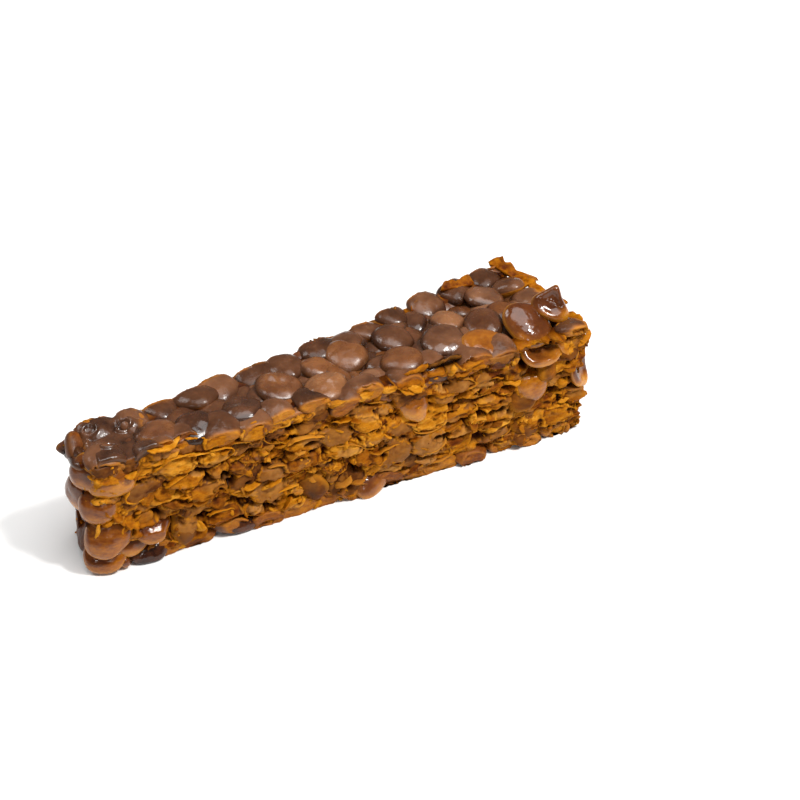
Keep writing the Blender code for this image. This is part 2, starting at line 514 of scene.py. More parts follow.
def shifted(rng, lentil):
    """An edge lentil, set back and down a little and leaning more, as tearing left it."""
    turn = Euler([math.radians(rng.gauss(0, spread)) for spread in (10, 10, 0)]).to_matrix()
    down = rng.uniform(0, 0.7) if lentil.layer else 0
    place = Vector(lentil.place) - UP * down
    place -= outward_at(SIDES[lentil.group], lentil.share) * rng.uniform(-0.2, 0.7)
    return lentil._replace(place=place, turn=np.array(turn) @ lentil.turn)


def add_cut_lentils(heap, lentils, template, rng):
    """Lentils cut through: a coat round a bare section, whose rim stands a little proud."""
    for lentil in lentils:
        lentil = shifted(rng, lentil)
        points = place_lens(lens_points(template, rng, lentil, rng.uniform(0, 0.6)), lentil)
        points, cut = trim(points, lentil, strata, -rng.uniform(0, 0.5))
        inner = template[2] * (1 if lentil.layer else -1) < 0
        bare = np.maximum(ease(-0.7, 0.3, cut + 0.6 * fractal(points, 1.6, 73, 3)), 0.9 * inner)
        rim = bell(cut, 0.12, 0.25) * 0.6
        tone = skin_tone(rng) * (1 - bare) + rng.uniform(0.35, 0.7) * bare
        # Painted shade on the coat of lentils above the bottom layer, darker the further they lie
        # below the top.
        light = 1 - 0.7 * ease(0.8, 1.9, HEIGHT - points[:, 2]) * (lentil.layer > 0) * (1 - bare)
        heap.add(points, template[3], look_of(bare, tone, rim, light))


def faced(place, facing, width, thickness=3.0, spin=0.0):
    """A listed lentil: place along, in from the front side and up; the way it faces."""
    turn = turn_to(facing, (0, 0, math.radians(spin)))
    spot = Vector((place[0], FRONT + place[1], place[2]))
    return Lentil("set", spot, turn, width, width, thickness, CUT_PROUD, 0, 0, 0)


Whole = namedtuple(
    "Whole",
    "place facing width thickness bare tone bend dish taper spin",
    defaults=((0, 0), 0, 0, 0),
)

# Lentils that the cut and the break left whole.
WHOLE_LENTILS = (
    Whole((-45.2, 3.3, 19.4), (-0.7, -0.65, 0.35), 6.6, 3.2, 0.15, 0.3),
    Whole((-42.0, 1.9, 18.6), (-0.1, -0.9, 0.4), 8.0, 3.4, 0.7, 0.46),
    Whole((-46.0, 5.8, 13.6), (-0.95, -0.3, 0.0), 7.2, 3.6, 0.15, 0.4),
    Whole((-44.6, 2.0, 13.2), (-0.4, -0.8, 0.4), 6.4, 3.8, 0.7, 0.36),
    Whole((-43.6, 1.4, 7.2), (-0.25, -0.8, 0.5), 8.0, 4.2, 0.7, 0.35, (-0.01, 0)),
    Whole((-44.0, 2.4, 2.9), (-0.25, -0.6, 0.75), 7.4, 3.0, 0.7, 0.31),
    Whole((-36.2, 1.3, 6.8), (0.05, -0.6, 0.8), 6.8, 3.2, 0.8, 0.3),
    Whole((-39.7, 2.2, 4.8), (-0.05, -0.7, 0.6), 6.6, 3.2, 0.15, 0.3),
    Whole((-37.0, 2.9, 2.3), (0.0, -0.5, 0.85), 8.4, 3.2, 0.0, 0.2),
    Whole((-41.4, 0.9, 1.3), (0.0, -1.0, -0.1), 2.2, 3.0, 0.1, 0.36),
    Whole((-20.0, 2.8, 2.1), (0.1, -0.5, 0.85), 7.4, 3.0, 0.0, 0.24),
    Whole((4.0, 2.5, 2.5), (0.1, -0.6, 0.75), 8.0, 3.4, 0.1, 0.3),
    Whole((27.2, 3.6, 21.7), (0.05, -0.3, 1.0), 8.0, 3.0, 0.5, 0.55),
    Whole((36.6, 5.2, 22.4), (0.05, -0.6, 0.95), 8.8, 3.4, 0.15, 0.3, (-0.02, 0.01)),
    Whole((41.6, 6.2, 25.0), (-0.3, -0.7, 0.5), 6.2, 3.0, 0.15, 0.34, (0.05, -0.04), 0.9, 0.65, 70),
    Whole((36.8, 1.9, 19.2), (0.1, -0.55, 0.8), 7.8, 2.8, 0.25, 0.4, (0.02, 0.05), 1.3, 0, 10),
    Whole((35.4, 0.9, 13.4), (0.1, -0.75, 0.65), 6.6, 3.0, 1.0, 0.6, (-0.12, -0.03), 0, 0, 80),
    Whole((45.2, 2.4, 12.0), (0.6, -0.75, 0.3), 6.4, 2.4, 0.2, 0.32, (0.08, 0.05), 0.4, 0, 80),
    Whole((12.4, 1.2, 16.0), (0.1, -0.9, 0.4), 6.4, 2.8, 0.6, 0.5, (-0.03, 0.0)),
    Whole((42.6, 2.8, 18.8), (0.55, -0.7, 0.5), 6.8, 2.2, 0.7, 0.5, (0.06, 0.04), 0, 0, 30),
)

# What is torn out of the front around them: along, up, half its length and height, and how deep.
FRONT_BITES = (
    (36.6, 18.6, 4.6, 3.4, 2.2),
    (35.3, 13.6, 3.8, 2.6, 1.6),
    (12.5, 15.6, 3.6, 2.4, 1.1),
    (-23.0, 12.9, 1.3, 1.6, 1.6),
    (-26.6, 5.2, 2.2, 1.3, 1.8),
    (34.8, 16.8, 3.0, 0.9, 1.6),
    (-36.4, 8.4, 3.2, 1.0, 1.8),
    (-37.5, 2.2, 5.0, 2.6, 1.6),
    (-20.0, 2.0, 4.0, 2.2, 1.6),
    (4.0, 2.2, 4.2, 2.4, 1.4),
    (-45.0, 16.2, 2.4, 0.9, 2.0),
    (-27.5, 15.2, 3.4, 0.7, 1.5),
    (25.0, 4.5, 2.4, 1.2, 1.4),
    (40.5, 9.5, 2.8, 1.2, 1.6),
)


def add_whole_lentils(heap, rng):
    """The lentils that the break left whole. Their coats wear through towards the lower side."""
    for whole in WHOLE_LENTILS:
        lentil = faced(whole.place, whole.facing, whole.width, whole.thickness, whole.spin)
        shape = lens_points(FINE_LENS, rng, lentil, 0.45, whole.bend, whole.taper, whole.dish)
        points = place_lens(shape, lentil)
        below = (lentil.place.z - points[:, 2]) / (whole.width / 2)
        patchy = 0.5 * fractal(points, 2.6, 71, 2)
        worn = whole.bare + 0.75 * (whole.bare > 0) * ease(-0.1, 0.8, below + patchy)
        rim = ease(0.9, 1.0, FINE_LENS[1]) * 0.8 * (whole.bare > 0)
        worn = np.minimum(worn, 1)
        tone = whole.tone + 0.6 * (worn - whole.bare)
        heap.add(points, FINE_LENS[3], look_of(worn, tone, rim))


def add_peeled_lentils(heap, wall, lentils, share, rng):
    """Lentils whose coat shows on a cut side, because the cut went round them."""
    for lentil in wall.some_inner(lentils, rng, share):
        run = wall.run_of(lentil.group, lentil.share)
        lean = np.array((rng.gauss(0, 0.35), 0.85, rng.uniform(-0.35, 0.75)))
        spin = rng.uniform(0, math.tau)
        place, axes = wall.spot_at(run, lentil.place.z, -rng.uniform(1.5, 2.3))
        turn = turn_to(axes @ lean, (0, 0, spin))
        width = rng.uniform(4.6, 6.8)
        peeled = lentil._replace(group="set", place=Vector(place), turn=turn, width=width)
        bend = (rng.uniform(-0.05, 0.02), rng.uniform(-0.05, 0.02))
        points = lens_points(COARSE_LENS, rng, peeled, rng.uniform(0.2, 1), bend)
        rim = ease(0.85, 1.0, COARSE_LENS[1]) * 0.8
        points = place_lens(points, peeled)
        bare = rng.uniform(0.3, 0.7) + 0.6 * fractal(points, 1.5, 75, 2)
        look = look_of(bare, rng.uniform(0.4, 0.8), rim)
        heap.add(points, COARSE_LENS[3], look)


# ---------------------------------------------------------------- the cut sides


def quads_of(grid):
    """The quads between the points that a grid counts."""
    quads = np.stack((grid[:-1, :-1], grid[1:, :-1], grid[1:, 1:], grid[:-1, 1:]), axis=-1)
    return quads.reshape(-1, 4)


def softened(grid, share):
    """A grid mixed with the mean of each point's neighbours, which rounds its edges off."""
    padded = np.pad(grid, 1, mode="edge")
    around = (padded[:-2, 1:-1] + padded[2:, 1:-1] + padded[1:-1, :-2] + padded[1:-1, 2:]) / 4
    return (1 - share) * grid + share * around


def smoothed(values, reach):
    """Values along a line, each averaged with its neighbours as far as reach."""
    ends = np.pad(values, ((reach, reach), (0, 0)), mode="edge")
    kernel = np.hanning(2 * reach + 3)[1:-1]
    kernel /= kernel.sum()
    return np.stack([np.convolve(column, kernel, "valid") for column in ends.T], axis=1)


def section(radius, tone, dome, grain, wobble):
    """The relief and look of a cut lentil: a rim of coat, with a groove inside it."""
    edge = ease(0.86, 0.95, radius)
    groove = bell(radius, 0.81, 0.06)
    relief = 0.1 * grain + 0.26 * edge - 0.16 * groove + dome * (1 - radius**2)
    # The groove gets painted shade: a lower tone and less light.
    tones = tone + 0.16 * grain + 0.15 * edge - 0.1 * groove
    return relief, look_of(1.0, tones, edge * 0.8, 1 - 0.5 * groove)


def skin(radius, tone, dome, grain, wobble):
    """The relief and look of a peeled lentil: a smooth dome with a bare edge."""
    edge = ease(0.88, 0.97, radius)
    relief = dome * np.sqrt(np.maximum(1 - radius**2, 0)) + 0.04 * grain
    return relief, look_of(0.3 + edge * 0.7, tone + 0.05 + 0.15 * wobble, edge * 0.8, 1.0)


def plate(radius, tone, dome, grain, wobble):
    """The relief and look of a split piece of flesh."""
    relief = 0.07 * grain + dome * (1 - radius**2)
    return relief, look_of(1.0, tone + 0.22 * grain, ease(0.7, 1.0, radius) * 0.5, 1.0)


SURFACES = {"section": section, "skin": skin, "plate": plate}


def section_size(lentil):
    """Half the length and half the height that a lentil has where the cut goes through it."""
    closeness = 2 * lentil.depth / lentil.width
    half_run = lentil.width / 2 * math.sqrt(max(1 - closeness**2, 0.1))
    return half_run, lentil.thickness / 2 * lens_rise(closeness)


class Wall:
    """Cut sides in one run: how far the surface stands out, on a grid along the run and up.

    Sections, skins and plates are stamped on it one after the other. Each covers what lies deeper.
    """

    LOW, HIGH = 0.3, HEIGHT - 1.4
    BACK = 3.6  # how far behind the cut the closed slab reaches

    def __init__(self, name, sides, pitch):
        self.name, self.pitch = name, pitch
        self.rng = random.Random("wall " + name)
        self.trace(sides)
        self.rows = round((self.HIGH - self.LOW) / pitch) + 1
        along = np.arange(self.columns) * pitch
        above = np.linspace(self.LOW, self.HIGH, self.rows)
        self.run, self.up = np.meshgrid(along, above, indexing="ij")
        self.roughen(self.rng.randrange(1000))

    def trace(self, sides):
        """Follows the sides, each from a first to a last share, and rounds the corners off."""
        pitch = self.pitch
        self.spans = {}
        places, length = [], 0
        for side_name, first, last in sides:
            side = SIDES[side_name]
            steps = round(run_length(side) * abs(last - first) / pitch)
            self.spans[side_name] = (length, steps * pitch, first, last)
            length += steps * pitch
            places += [side(first + (last - first) * step / steps)[:] for step in range(steps)]
        places.append(side(last)[:])
        places = np.array(places)
        self.length, self.columns = length, len(places)
        self.places = smoothed(places, round(2.2 / pitch))
        self.places[0], self.places[-1] = places[0], places[-1]
        ahead = np.gradient(self.places, axis=0)
        outward = np.stack((ahead[:, 1], -ahead[:, 0], np.zeros(self.columns)), axis=1)
        self.outward = outward / np.linalg.norm(outward, axis=1, keepdims=True)

    def roughen(self, seed):
        """The noises that later steps use, and the crumbly flesh that lies deepest."""
        flat = as_points(self.run, self.up, 0.0)

        def field(size, salt, octaves=3):
            return fractal(flat, (*size, 1), seed + salt, octaves).reshape(self.run.shape)

        self.bent_run = self.run + 0.7 * field((2.4, 1.6), 1)
        self.bent_up = self.up + 0.4 * field((2.6, 1.1), 2) + 1.1 * field((16, 10), 3, 1)
        self.grain = field((1.5, 0.65), 4)
        self.wobble = field((0.9, 0.7), 5)
        self.broad = field((7, 4), 6, 2)
        self.crumb = field((0.75, 0.55), 9, 2)
        self.pores = field((1.3, 0.8), 10, 2)
        self.film = ease(0.1, 0.45, field((4.5, 2.2), 12, 3))
        self.foot = ease(-0.35, 0.5, field((6.5, 400), 11, 2))
        crumbly = field((1.6, 1.0), 7, 4)
        pits = ease(0.05, 0.45, field((1.8, 1.1), 8, 3))
        self.out = -1.9 + 0.7 * crumbly - 1.0 * pits
        # The deepest flesh gets painted shade, most of all in its pits.
        self.look = look_of(1.0, 0.3 + 0.35 * crumbly, 0.0, 0.75 - 0.6 * pits)

    def run_of(self, side_name, share):
        start, length, first, last = self.spans[side_name]
        return start + length * (share - first) / (last - first)

    def holds(self, lentil):
        if lentil.group not in self.spans:
            return False
        start, length, _, _ = self.spans[lentil.group]
        return 0 <= self.run_of(lentil.group, lentil.share) - start <= length

    def some_inner(self, lentils, rng, share):
        """About a share of this wall's lentils that aren't in the top or the bottom layer."""
        for lentil in lentils:
            if self.holds(lentil) and 0 < lentil.layer < LAYERS - 1 and rng.random() <= share:
                yield lentil

    def window(self, run, up, reach):
        """The part of the grid within reach of a place."""

        def steps(middle, start):
            low, high = (int((middle + way * reach - start) / self.pitch) for way in (-1, 1))
            return slice(max(low, 0), max(high, 0) + 1)

        return steps(run, 0), steps(up, self.LOW)

    def stamp(self, run, up, half_run, half_up, tilt, out, kind, tone, slope=(0, 0), dome=0.0):
        """Covers an oval with one kind of surface where it stands out the most."""
        window = self.window(run, up, max(half_run, half_up) * 1.15 + 1.2)
        x = self.bent_run[window] - run
        y = self.bent_up[window] - up
        u = (x * math.cos(tilt) + y * math.sin(tilt)) / half_run
        v = (y * math.cos(tilt) - x * math.sin(tilt)) / half_up
        roll = self.rng.randrange(40), self.rng.randrange(20)
        wobble = np.roll(self.wobble[window], roll, (0, 1))
        ragged = 0.18 if kind == "section" else 0.3
        radius = (np.abs(u) ** 2.4 + np.abs(v) ** 2.4) ** (1 / 2.4) + ragged * wobble
        # A hole is sunk and gets painted shade.
        if kind == "hole":
            self.sink(window, dome, ease(1.0, 0.3, radius) * (radius < 1), 0.75)
            return
        height = out + slope[0] * u + slope[1] * v + 0.45 * self.broad[window]
        relief, look = SURFACES[kind](radius, tone, dome, self.grain[window], wobble)
        height = height + relief
        # A shallow groove with painted shade round each section and skin.
        if kind != "plate":
            self.sink(window, 0.35, bell(radius, 1.07, 0.08) * (radius >= 1), 0.5)
        covers = (radius < 1) & (height > self.out[window])
        self.out[window] = np.where(covers, height, self.out[window])
        self.look[window] = np.where(covers[..., None], look, self.look[window])

    def sink(self, window, depth, where, shadow):
        self.out[window] -= depth * where
        # Painted shade, as much as the shadow share, where it sinks.
        self.look[window][..., 3] *= 1 - shadow * where

    def stamp_plates(self, count, outs, lengths, thicknesses, tones, keep=None):
        rng = self.rng
        for _ in range(count):
            run, up = rng.uniform(0, self.length), rng.uniform(self.LOW, self.HIGH)
            if keep and rng.random() > keep(run, up):
                continue
            half_run, half_up = rng.uniform(*lengths), rng.uniform(*thicknesses)
            tilt = math.radians(rng.gauss(0, 12))
            out, tone = rng.uniform(*outs), rng.uniform(*tones)
            slope = (rng.uniform(-0.35, 0.35), rng.uniform(-0.6, 0.05))
            self.stamp(run, up, half_run, half_up, tilt, out, "plate", tone, slope)

    def stamp_scales(self, count, split):
        """Parts of cut and of peeled lentils, which overlap downwards like scales."""
        rng = self.rng
        for _ in range(count):
            run, up = rng.uniform(0, self.length), rng.uniform(self.LOW, self.HIGH)
            if rng.random() < 0.7 * split(run, up):
                continue
            tilt = math.radians(rng.gauss(-4, 15))
            slope = (rng.uniform(-0.3, 0.3), -rng.uniform(0.2, 0.8))
            kind, dome = ("section", 0.2) if rng.random() < 0.55 else ("skin", 0.5)
            out, tone = rng.uniform(-1.5, -0.3), rng.uniform(0.3, 0.8)
            half_run, half_up = rng.uniform(1.4, 3.0), rng.uniform(0.7, 1.4)
            self.stamp(run, up, half_run, half_up, tilt, out, kind, tone, slope, dome)

    def stamp_lentils(self, lentils, split):
        """The lentils of each layer: cut through, peeled, split into plates, or fallen out."""
        rng = self.rng
        for lentil in lentils:
            half_run, half_up = section_size(lentil)
            half_up *= 1.2
            run, up = self.run_of(lentil.group, lentil.share), lentil.place.z
            tilt = math.radians(rng.gauss(-3, 12))
            out = lentil.proud * 1.2 - 0.3
            kind = rng.random() + 0.35 * split(run, up)
            slope = (rng.uniform(-0.4, 0.4), -rng.uniform(0.0, 0.7))
            if kind < 0.6:
                tone = rng.uniform(0.4, 0.8)
                self.stamp(run, up, half_run, half_up, tilt, out, "section", tone, slope, 0.3)
            elif kind < 0.95:
                tone = rng.uniform(0.3, 0.7)
                height = half_up * 1.15
                self.stamp(run, up, half_run, height, tilt, out - 0.5, "skin", tone, slope, 0.7)
            elif kind < 1.15:
                for part in (-1, 0, 1):
                    at = run + rng.uniform(-1, 1), up + part * half_up * 0.6
                    size = half_run * rng.uniform(0.6, 1), half_up * 0.42
                    height, tone = out - rng.uniform(0, 0.9), rng.uniform(0.35, 0.85)
                    self.stamp(*at, *size, tilt, height, "plate", tone, slope)

    def stamp_holes(self, count):
        rng = self.rng
        for _ in range(count):
            run, up = rng.uniform(0, self.length), rng.uniform(self.LOW + 1, self.HIGH - 1)
            half_run, half_up = rng.uniform(0.6, 2.0), rng.uniform(0.3, 0.8)
            tilt, depth = math.radians(rng.gauss(0, 14)), rng.uniform(0.9, 2.5)
            self.stamp(run, up, half_run, half_up, tilt, 0, "hole", 0, dome=depth)

    def stamp_bites(self, bites):
        """What is torn out at places along the front, given from its middle."""
        for along, up, half_run, half_up, depth in bites:
            run = along + LENGTH / 2
            self.stamp(run, up, half_run, half_up, 0, 0, "hole", 0, dome=depth)

    def round_off(self):
        """Draws the surface in at the ends and at an unevenly torn foot, and roughens the flesh."""
        under = 1 - ease(self.LOW, self.LOW + 1.6 + 3.6 * self.foot, self.up)
        near_end = np.minimum(self.run, self.length - self.run)
        self.out -= (0.6 + 2.4 * self.foot) * under**1.4
        self.out -= 1.4 * (1 - ease(0, 2.0, near_end)) ** 2
        self.out = softened(softened(self.out, 0.6), 0.4)
        bare = self.look[..., 0]
        self.out += bare * (0.1 * self.crumb - 0.3 * ease(0.25, 0.6, self.pores))
        self.out = np.clip(self.out, -3.3, 0.9)

    def shade(self):
        """Paints shade on what lies deeper than what is around it and a painted highlight on flesh
        that stands out, then lays patches of binding film over the flesh.
        """
        around = self.out
        for _ in range(round((1.3 / self.pitch) ** 2)):
            around = softened(around, 0.8)
        depth = around - self.out
        self.look[..., 3] *= 1 - 0.95 * ease(0.0, 0.7, depth)
        self.look[..., 1] += 0.12 * ease(0.0, 0.6, -depth) * self.look[..., 0]
        self.look[..., 0] *= 1 - 0.7 * self.film
        self.look[..., 1] += 0.1 * self.film

    def depth_at(self, run, up):
        column = min(max(round(run / self.pitch), 0), self.columns - 1)
        row = round((up - self.LOW) / (self.HIGH - self.LOW) * (self.rows - 1))
        return self.out[column, min(max(row, 0), self.rows - 1)]

    def spot_at(self, run, up, out):
        """A point that stands out of the cut, and columns along the run, outward and up."""
        column = min(max(round(run / self.pitch), 0), self.columns - 1)
        outward = self.outward[column]
        place = self.places[column] + outward * out
        place[2] = up
        return place, np.array((np.cross(outward, np.array(UP)), outward, UP)).T

    def add_to(self, heap):
        """The relief as the outer face of a closed slab."""
        outer = self.places[:, None] + self.outward[:, None] * self.out[..., None]
        outer[..., 2] = self.up
        inner = self.places - self.outward * self.BACK
        low, high = inner.copy(), inner.copy()
        low[:, 2], high[:, 2] = self.LOW, self.HIGH
        rows, columns = self.rows, self.columns
        grid = np.arange(columns * rows).reshape(columns, rows)
        lows = columns * rows + np.arange(columns)
        highs = lows + columns
        strips = [
            np.stack((highs[:-1], grid[:-1, -1], grid[1:, -1], highs[1:]), axis=-1),
            np.stack((grid[:-1, 0], lows[:-1], lows[1:], grid[1:, 0]), axis=-1),
            np.stack((lows[:-1], highs[:-1], highs[1:], lows[1:]), axis=-1),
        ]
        faces = quads_of(grid).tolist() + np.concatenate(strips).tolist()
        faces.append((*grid[0].tolist(), int(highs[0]), int(lows[0])))
        faces.append((*grid[-1, ::-1].tolist(), int(lows[-1]), int(highs[-1])))
        # The hidden back and end faces get painted shade.
        hidden = np.broadcast_to(look_of(1.0, 0.3, 0.0, 0.4), (2 * columns, 4))
        look = np.concatenate((self.look.reshape(-1, 4), hidden))
        heap.add(np.concatenate((outer.reshape(-1, 3), low, high)), faces, look)


def fibrous(run, up):
    """How densely a side is split into fine fibres: most towards the front's right end."""
    middle_run, middle_up = 69, 14
    away = ((run - middle_run) / 15) ** 2 + ((up - middle_up) / 7) ** 2
    return 0.1 + 0.8 * math.exp(-away) + 0.3 * (run > 52) * (up < 9)


def evenly(run, up):
    return 0.4


def make_wall(name, sides, pitch, lentils, plates, material, split=evenly, bites=()):
    wall = Wall(name, sides, pitch)
    wall.stamp_plates(plates, (-2.2, -0.9), (1.0, 3.4), (0.3, 0.8), (0.15, 0.7))
    wall.stamp_scales(plates // 4, split)
    wall.stamp_lentils([lentil for lentil in lentils if wall.holds(lentil)], split)
    wall.stamp_plates(plates // 2, (-1.0, -0.2), (1.0, 3.2), (0.35, 0.85), (0.25, 0.8), split)
    wall.stamp_holes(plates // 13)
    wall.stamp_bites(bites)
    wall.round_off()
    wall.shade()
    heap = Heap()
    wall.add_to(heap)
    heap.piece("cut_side_" + name, material, "tempeh")
    return wall


# ---------------------------------------------------------------- the bound mass


def core_outline(over, down):
    """Once round the cross-section: shares across and up, from the front's foot upwards."""
    square = [(0, step / down) for step in range(down)]
    square += [(step / over, 1) for step in range(over)]
    square += [(1, 1 - step / down) for step in range(down)]
    square += [(1 - step / over, 0) for step in range(over)]
    return np.array(square)


def tube_faces(rings, ring):
    """Quads between rings of points, and fans from two last points that close the ends."""
    faces = []
    for step in range(ring):
        after = (step + 1) % ring
        for row in range(rings - 1):
            here, next_row = row * ring, (row + 1) * ring
            faces.append((here + step, next_row + step, next_row + after, here + after))
        last = (rings - 1) * ring
        faces.append((step, after, rings * ring))
        faces.append((last + after, last + step, rings * ring + 1))
    return faces


TOP_SINK = 2.7  # how far the mass between the top's lentils lies below their tops
FILM_FROM, FILM_FULL = -34, -41  # along the finger: a film of the binding rises over the lentils


def add_core(heap):
    """The mass inside the lentils."""
    columns, caps = 230, 8
    square = core_outline(46, 14)
    low, high = SKIN_PROUD - FLOOR_BITE, HEIGHT - TOP_SINK
    inset = CORE_INSET + 0.9
    loops = []
    for along in np.linspace(0, 1, columns + 1):
        front, back = plan(along, 0), plan(along, 1)
        start = np.array((front.x, front.y + inset))
        end = np.array((back.x, back.y - inset))
        flat = start + (end - start) * square[:, :1]
        flat[:, 0] = np.clip(
            flat[:, 0], -LENGTH / 2 + inset, LENGTH / 2 - inset - END_SLANT * square[:, 0]
        )
        height = low + (high - low) * square[:, 1:]
        loops.append(np.concatenate((flat, height), axis=1))
    body = np.array(loops)
    middle = body.mean(axis=1, keepdims=True)
    shrink = 1 - np.arange(1, caps)[:, None, None] / caps
    left = middle[0] + (body[0] - middle[0]) * shrink
    right = middle[-1] + (body[-1] - middle[-1]) * shrink
    rings = np.concatenate((left[::-1], body, right))
    points = np.concatenate((rings.reshape(-1, 3), middle[0], middle[-1]))

    rough = fractal(points, 3.0, 51, 4)
    top = points[:, 2] > high - 0.1
    bottom = points[:, 2] < low + 0.1
    film = ease(FILM_FROM, FILM_FULL, points[:, 0])
    lift = 0.55 * rough + 1.15 * film
    points[:, 2] += np.where(top, lift, 0) - np.where(bottom, 0.35 * rough, 0)
    at_end = np.abs(points[:, 0]) > LENGTH / 2 - 6
    points[:, 0] += np.where(at_end, 0.8 * rough, 0)
    skin = np.maximum(ease(high - 0.8, high - 0.4, points[:, 2]), bottom)
    skin = np.maximum(skin, 0.7 * ease(-LENGTH / 2 + 5, -LENGTH / 2 + 4, points[:, 0]))
    tone = 0.36 + 0.3 * fractal(points, 2.2, 57, 3)
    heap.add(points, tube_faces(len(rings), len(square)), look_of(1 - skin, tone))


FILM_HUG = 2.6  # how closely the film follows the lentils under it, for each millimetre
# Where the binding foamed and left rings: along, and in from the front side.
FILM_RINGS = ((-41.1, 4.2), (-44.6, 8.0), (-42.5, 9.3), (-37.0, 8.4))
FILM_THICKNESS = 0.9


def film_height(x, y, lentils):
    """A smooth surface over the lentils' tops, no lower than the flesh between them."""
    pile = np.full(x.shape, math.exp(FILM_HUG * (HEIGHT - 1.7)))
    for lentil in lentils:
        away = np.hypot(x - lentil.place.x, y - lentil.place.y) / (lentil.width / 2)
        top = lentil.place.z + lentil.thickness / 2 * lens_rise(np.minimum(away, 1))
        pile += np.where(away < 1, np.exp(FILM_HUG * top), 0)
    return np.log(pile) / FILM_HUG


def add_film(heap, lentils):
    """The binding's film, which drapes over the lentils of the top's left end."""
    columns, rows = 120, 84
    share, across = np.meshgrid(
        np.linspace(0.012, 0.2, columns), np.linspace(0.05, 0.97, rows), indexing="ij"
    )
    x = share * (LENGTH - END_SLANT * across) - LENGTH / 2
    y = FRONT + across * width_at(share)
    z = film_height(x, y, lentils)
    for ring_x, ring_in in FILM_RINGS:
        away = np.hypot((x - ring_x) / 1.3, y - FRONT - ring_in)
        z += 0.55 * bell(away, 0.95, 0.22) - 0.25 * bell(away, 0, 0.6)
    flat = as_points(x, y, 0.0)
    rough = fractal(flat, 2.2, 81, 3).reshape(x.shape)
    ragged = 0.035 * fractal(flat, 3.0, 83, 2).reshape(x.shape)
    edge = np.maximum(ease(0.12, 0.19, share + ragged), ease(0.86, 1.0, np.abs(2 * across - 1)))
    edge = np.maximum(edge, 1 - ease(0.012, 0.03, share))
    z += 0.12 * rough + 0.25 - 2.4 * edge
    around = z
    for _ in range(24):
        around = softened(around, 0.8)
    # Painted shade in the film's dips, none at its torn edge.
    light = 1 - 0.85 * ease(0.0, 0.5, around - z) * (1 - edge)
    tone = 0.34 + 0.2 * rough + 0.15 * edge
    top = as_points(x, y, z)
    torn = ease(0.02, 0.4, edge)
    look = look_of(0.95 * torn, tone, 0.5 * torn, light).reshape(-1, 4)
    points = np.concatenate((top, top - (0, 0, FILM_THICKNESS)))
    heap.add(points, sheet_faces(columns, rows), np.concatenate((look, look)))


def between_lentils(lentils, rng):
    """Smaller lentils lower down, in the gaps that the top's own lentils leave."""
    middle = HEIGHT - LENTIL_THICKNESS / 2
    taken = on_plan(lentil.place for lentil in lentils if lentil.place.z > middle - 1)
    made = []
    for place in fill_in(taken, lambda a, b: plan(0.02 + 0.96 * a, 0.02 + 0.96 * b), 3.1, rng):
        place.z = middle - rng.uniform(0.9, 2.0)
        made.append(leaning(rng, place, UP, rng.uniform(5.8, 7.4), 26))
    return made


def beside_lentils(rng):
    """Lentils between those of the left end, and along its foot."""
    made = []
    for place in fill_in((), lambda a, b: plan(0, 0.3 + 0.6 * a) + UP * (2.6 + 16 * b), 3.9, rng):
        place.x += rng.uniform(1.9, 2.7)
        made.append(leaning(rng, place, (-1, 0, 0), rng.uniform(6.2, 7.4), 14))
    return made


def leaning(rng, place, normal, width, lean):
    """A filling lentil, which faces about along a normal."""
    turn = turn_near(rng, normal, lean)
    thickness = rng.uniform(2.6, 3.3)
    return Lentil("set", place, turn, width, width * 1.04, thickness, CUT_PROUD, 0, 0, 0)


# ---------------------------------------------------------------- flakes, ribbons and crumbs


def sheet_faces(columns, rows):
    """The faces of a closed thin sheet, whose top and underside are grids of points."""
    size = columns * rows
    grid = np.arange(size).reshape(columns, rows)
    quads = quads_of(grid)
    faces = quads.tolist() + (quads[:, ::-1] + size).tolist()
    border = [*grid[:-1, 0], *grid[-1, :-1], *grid[:0:-1, -1], *grid[0, :0:-1]]
    for here, after in zip(border, border[1:] + border[:1]):
        faces.append((int(after), int(here), int(here) + size, int(after) + size))
    return faces


def flake(rng, length, width, thickness=0.15, grid=(9, 5)):
    """A thin torn sheet, curled, in its own frame: x along, y out, z up."""
    columns, rows = grid
    along, out = np.meshgrid(np.linspace(-1, 1, columns), np.linspace(0, 1, rows), indexing="ij")
    shift = np.array([rng.uniform(0, 300) for _ in range(3)])
    tips = as_points(along * length, out, 0.0) + shift
    torn = fractal(tips * np.array((1, 0, 1)), 2.6, octaves=3)
    ragged = 1 + 0.6 * torn.reshape(along.shape)
    taper = np.sqrt(np.maximum(1 - np.abs(along) ** 3, 0.02))
    x = along * length / 2 * (0.85 + 0.15 * out)
    y = out * width * taper * ragged
    wave = 0.45 * fractal(tips, 1.6, 9, 4).reshape(along.shape)
    z = rng.uniform(-0.25, 0.25) * y**2 + rng.uniform(-0.25, 0.25) * x * x / length + wave
    thin = thickness * (1 - 0.4 * out) / 2
    points = np.concatenate((as_points(x, y, z + thin), as_points(x, y, z - thin)))
    return points, sheet_faces(columns, rows), np.tile(ease(0.5, 1.0, out).ravel(), 2)


